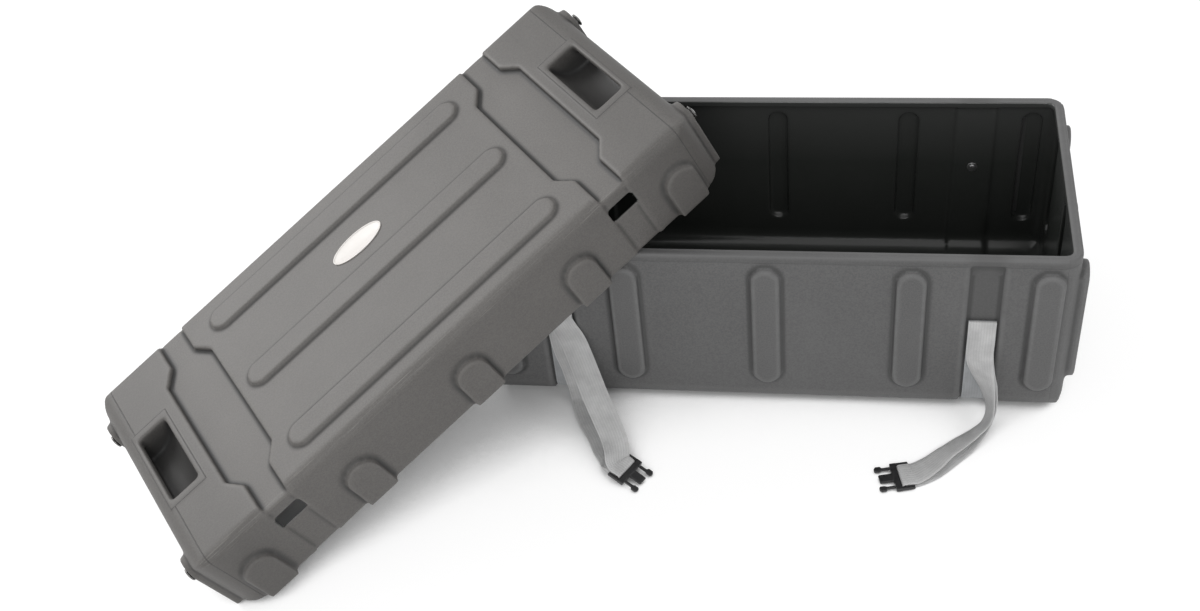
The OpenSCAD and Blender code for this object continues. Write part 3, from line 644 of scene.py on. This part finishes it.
def channel_rings(x):
    outer, low, centre, radius = 0.181, 0.004, (0.153, 0.032), 0.028
    path = [(-outer, FOLD_Z - k * 0.012) for k in range(12)]
    path += [(-centre[0] - radius * math.cos(a), centre[1] - radius * math.sin(a))
             for a in np.linspace(0, math.pi / 2, 12)]
    half = len(path)
    path += [(y, low) for y in np.linspace(-0.14, 0.14, 19)]
    path += [(-y, z) for y, z in reversed(path[:half])]
    return [((x, y, z), (1, 0, 0)) for y, z in path]


def front_loop(side, x):
    out, back, tilt, lead = ((LEFT_OUT, LEFT_BACK, LEFT_TILT, LEFT_LEAD) if side == "left"
                             else (RIGHT_OUT, RIGHT_BACK, 0.0, BAR_LEAD))
    axes = Euler((0, tilt, BUCKLE_TURNS[side])).to_matrix()
    turned = around_bar(BUCKLE_BARS[side], axes.col[0], axes.col[2], axes.col[1], lead)
    return smooth_curve(over_fold(x, -1) + beside(out, -1, x) + turned + beside(back, -1, x))


def rear_loop(x):
    turned = around_bar(Vector((x, REAR_BAR_Y, REAR_BAR_Z)), Vector((0, 1, 0)), Vector((0, 0, 1)),
                        (1, 0, 0))
    return smooth_curve(over_fold(x, 1) + beside(REAR_OUT, 1, x) + turned + beside(REAR_BACK, 1, x))


for side, x in (("left", -STRAP_X), ("right", STRAP_X)):
    under = belt("belly_belt_" + side, channel_rings(x), False)
    front = belt("loose_front_" + side, front_loop(side, x), True)
    rear = belt("loose_rear_" + side, rear_loop(x), True)
    for piece, node, body, weave in (
            (under, "belly_strap_" + side, "tub", belt_weave),
            (front, "front_tail_" + side, "front_tail_" + side, loose_weave_painted_paler),
            (rear, "rear_tail_" + side, "rear_tail_" + side, loose_weave_painted_paler)):
        piece.data.materials.append(weave)
        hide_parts(node)
        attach(piece, body)


# %% [markdown]
# The buckles are smooth black moulded plastic, softened like the shells but on a much
# smaller square. Their colour is almost black with a faint haze, which also varies
# their gloss.

# %% Buckles
BUCKLE_SQUARE = 0.0005 if fine else 0.001
BUCKLE_MOST = 30000


def glossy_black():
    r = Recipe("buckle_black")
    where = r.add("ShaderNodeTexCoord").outputs["Object"]
    haze = r.noise(where, 160, 4, 0.6)
    colour = r.mix(r.spread(haze, 0.3, 0.75), (0.010, 0.010, 0.011, 1), (0.024, 0.024, 0.025, 1))
    return r.shade(base_color=colour, roughness=r.spread(haze, 0.3, 0.7, 0.3, 0.45),
                   normal=r.bump(r.noise(where, 2500, 2), 0.00005, 0.4))


buckle_black = glossy_black()
for side in ("left", "right"):
    for node in (f"male_buckle_{side}", f"prong_{side}_a", f"prong_{side}_b", f"female_buckle_{side}"):
        piece = soften(node, "moulded_" + node, BUCKLE_SQUARE)
        finish_shell(piece, node, BUCKLE_MOST)
        piece.data.materials.append(buckle_black)
        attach(piece, node)


# %% [markdown]
# The metal is plated steel that has dulled a little. Cloudy tarnish changes its colour
# and its gloss together, and fine scratches all run one way.

# %% Metal materials
def plated(name, level, warmth, low, high):
    r = Recipe(name)
    where = r.add("ShaderNodeTexCoord").outputs["Object"]
    tarnish = r.noise(where, 240, 5, 0.65)
    scratches = r.noise(r.stretched(where, (1, 9, 3)), 900, 3)
    colour = r.mix(r.spread(tarnish, 0.35, 0.7), grey(level, warmth), grey(level * 0.62, warmth))
    return r.shade(base_color=colour, metallic=1.0, roughness=r.spread(tarnish, 0.3, 0.7, low, high),
                   normal=r.bump(scratches, 0.00008, 0.35))


nickel = plated("dark_nickel", 0.16, 0.02, 0.28, 0.42)
steel = plated("rivet_steel", 0.6, 0.0, 0.3, 0.48)
print("metals:", nickel.name, steel.name)


# %% [markdown]
# Small turned pieces are stacks of short bars with a rounded rim. One model of each is
# made upright at the origin, and copies of it are set in their places and joined, so
# that equal pieces share one node.

# %% Turned pieces
def round_bar(name, radius, low, high, rim, around=40):
    bpy.ops.object.select_all(action="DESELECT")
    bpy.ops.mesh.primitive_cylinder_add(vertices=around, radius=radius, depth=high - low,
                                        location=(0, 0, (low + high) / 2))
    piece = bpy.context.object
    piece.name = name
    bpy.ops.object.transform_apply(location=True, rotation=True, scale=True)
    apply_modifier(piece, "BEVEL", width=rim, segments=3, limit_method="ANGLE",
                   angle_limit=math.radians(60))
    return piece


def joined(name, pieces):
    bpy.ops.object.select_all(action="DESELECT")
    for piece in pieces:
        piece.select_set(True)
    bpy.context.view_layer.objects.active = pieces[0]
    bpy.ops.object.join()
    pieces[0].name = name
    bpy.ops.object.shade_smooth_by_angle(angle=math.radians(40))
    return pieces[0]


def set_in_places(name, model, places):
    copies = []
    for place in places:
        copy = model.copy()
        copy.data = model.data.copy()
        copy.data.transform(place)
        bpy.context.scene.collection.objects.link(copy)
        copies.append(copy)
    bpy.data.objects.remove(model)
    return joined(name, copies)


# %% [markdown]
# The lid's ends carry four steel glides that the case can stand on. Each is a domed disc
# on a spacer, held by a rivet. Four flat rivets hold the belts to the tub's long walls,
# with a washer behind each. A glide's model starts at the lid's end, and a belt rivet's
# model at the tub's middle, because its distance from there is the same on both sides.

# %% Glides and rivets
LID_END, GLIDE_Y, GLIDE_Z, RIVET_Z = 0.455, 0.149, 0.087, 0.167
glide_places = [
    LID_PLACE @ Matrix.Translation((0, y, GLIDE_Z)) @ Matrix.Rotation(math.radians(90 * end), 4, "Y")
    @ Matrix.Translation((0, 0, LID_END)) for end in (-1, 1) for y in (-GLIDE_Y, GLIDE_Y)]
rivet_places = [
    Matrix.Translation((x, 0, RIVET_Z)) @ Matrix.Rotation(math.radians(-90 * side), 4, "X")
    for x in (-STRAP_X, STRAP_X) for side in (-1, 1)]

disc = joined("disc", [round_bar("foot", 0.0075, 0, 0.0045, 0.0004),
                       round_bar("head", 0.01, 0.004, 0.007, 0.0011)])
pin = joined("pin", [round_bar("shank", 0.0023, -0.0065, 0.0075, 0.0002, 20),
                     round_bar("dome", 0.005, 0.007, 0.0084, 0.0008),
                     round_bar("clench", 0.0045, -0.0076, -0.0062, 0.0005)])
ring = round_bar("ring", 0.008, -0.0062, -0.005, 0.0003)
belt_pin = joined("belt_pin", [round_bar("shank", 0.0023, 0.172, 0.1815, 0.0002, 20),
                               round_bar("cap", 0.006, 0.181, 0.182, 0.0004),
                               round_bar("clench", 0.0045, 0.171, 0.1728, 0.0006)])
belt_ring = round_bar("belt_ring", 0.008, 0.1728, 0.174, 0.0003)
for name, model, places, node, body, metal, slot in (
        ("glides", disc, glide_places, "glide_discs", "lid", nickel, "glide_nickel"),
        ("glide_pins", pin, glide_places, "glide_rivets", "lid", steel, "rivet_steel"),
        ("glide_rings", ring, glide_places, "glide_washers", "lid", steel, "rivet_steel"),
        ("belt_pins", belt_pin, rivet_places, "strap_rivets", "tub", steel, "rivet_steel"),
        ("belt_rings", belt_ring, rivet_places, "rivet_washers", "tub", steel, "rivet_steel")):
    group = set_in_places(name, model, places)
    group.data.materials.clear()
    group.data.materials.append(metal)
    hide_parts(node)
    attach(group, body)
    print(name, "triangles:", triangles(group))

# %% [markdown]
# The badge is a blank oval plate with a raised rim, glued on the top between two ribs.
# It starts as a flat cylinder, its top is inset twice and the middle is sunk, and the
# edges are bevelled.

# %% Badge
BADGE_LONG, BADGE_WIDE, BADGE_THICK = 0.044, 0.019, 0.0016
BADGE_PLACE = Matrix.Translation((0, 0.063, 0.1328))
bpy.ops.object.select_all(action="DESELECT")
bpy.ops.mesh.primitive_cylinder_add(vertices=96, radius=1, depth=BADGE_THICK, location=(0, 0, 0))
badge = bpy.context.object
badge.name = "badge"
badge.data.transform(Matrix.Diagonal((BADGE_LONG, BADGE_WIDE, 1, 1)))
take(badge)
bpy.ops.object.mode_set(mode="EDIT")
bpy.ops.mesh.select_all(action="DESELECT")
bpy.ops.object.mode_set(mode="OBJECT")
for face in badge.data.polygons:
    face.select = face.normal.z > 0.9
bpy.ops.object.mode_set(mode="EDIT")
bpy.ops.mesh.inset(thickness=0.0018, depth=0)
bpy.ops.mesh.inset(thickness=0.0006, depth=-0.0006)
bpy.ops.object.mode_set(mode="OBJECT")
apply_modifier(badge, "BEVEL", width=0.0003, segments=2, limit_method="ANGLE",
               angle_limit=math.radians(35))
bpy.ops.object.shade_smooth_by_angle(angle=math.radians(40))
badge.data.transform(LID_PLACE @ BADGE_PLACE)
r = Recipe("badge_face")
where = r.add("ShaderNodeTexCoord").outputs["Object"]
haze = r.noise(where, 90, 4)
badge.data.materials.append(r.shade(
    base_color=r.mix(haze, (0.62, 0.59, 0.56, 1), (0.74, 0.71, 0.68, 1)),
    roughness=r.spread(haze, 0.3, 0.7, 0.3, 0.42),
    normal=r.bump(r.noise(where, 1800, 2), 0.00005, 0.3)))
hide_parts("badge_plate")
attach(badge, "lid")
print("badge faces:", len(badge.data.polygons))


# %% [markdown]
# The floor shows white to the camera and in reflections, without lighting the case: it
# glows only for those rays. It keeps the case's soft shadow, and under the leaning lid,
# where little sky reaches it, it doesn't glow at all.

# %% Floor
WHITE = (1, 1, 1, 1)
FLOOR_GLOW = 0.82


def seen_or_mirrored(r):
    rays = r.add("ShaderNodeLightPath").outputs
    return r.math("MAXIMUM", rays["Is Camera Ray"],
                  r.math("MAXIMUM", rays["Is Glossy Ray"], rays["Is Transmission Ray"]))


bpy.ops.object.select_all(action="DESELECT")
bpy.ops.mesh.primitive_plane_add(size=16, location=(0, 0, -0.0006))
floor = bpy.context.object
floor.name = "floor"
r = Recipe("floor_white")
sky_share = r.add("ShaderNodeAmbientOcclusion", {"Distance": 0.5}, samples=12).outputs["AO"]
glows = r.times(seen_or_mirrored(r), r.spread(sky_share, 0.3, 0.47))
floor.data.materials.append(r.shade(
    base_color=r.mix(glows, grey(0.88), grey(0.28)), roughness=0.9,
    emission_color=WHITE, emission_strength=r.times(glows, FLOOR_GLOW)))
print("floor:", floor.name)


# %% [markdown]
# The room is bright overhead and dim near the ground, as in a studio with a white
# ceiling, so the top faces are the brightest. To the camera and in reflections it is
# plain white.

# %% Room
class RoomRecipe(Recipe):
    def __init__(self, name):
        self.world = bpy.data.worlds.new(name)
        self.world.use_nodes = True
        self.tree = self.world.node_tree
        self.tree.nodes.clear()


r = RoomRecipe("room")
up = r.add("ShaderNodeSeparateXYZ", {0: r.add("ShaderNodeTexCoord").outputs["Generated"]}).outputs[2]
studio = r.add("ShaderNodeBackground", {"Color": WHITE, "Strength": r.spread(up, 0.05, 1.0, 0.16, 0.85)})
plain = r.add("ShaderNodeBackground", {"Color": WHITE, "Strength": 1.0})
shown = r.add("ShaderNodeMixShader", {0: seen_or_mirrored(r), 1: studio.outputs[0], 2: plain.outputs[0]})
r.add("ShaderNodeOutputWorld", {"Surface": shown.outputs[0]})
bpy.context.scene.world = r.world
print("room:", r.world.name)

# %% [markdown]
# Two round lamps aim at the case. The strong one hangs to the left and a little behind,
# so each rib's front side falls into shade, and a weaker one in front opens the shadows
# on the walls that face the camera.

# %% Lamps
LAMP_AIM = Vector((-0.2, -0.1, 0.2))


def lamp(name, place, size, power):
    light = bpy.data.lights.new(name, "AREA")
    light.shape, light.size, light.energy = "DISK", size, power
    holder = bpy.data.objects.new(name, light)
    holder.location = place
    holder.rotation_euler = (LAMP_AIM - Vector(place)).to_track_quat("-Z", "Y").to_euler()
    bpy.context.scene.collection.objects.link(holder)
    print(name, "lamp at", place, "power", power)


lamp("overhead", (-3.2, 0.7, 2.3), 1.8, 70)
lamp("front", (0.2, -3.6, 2.2), 1.6, 34)
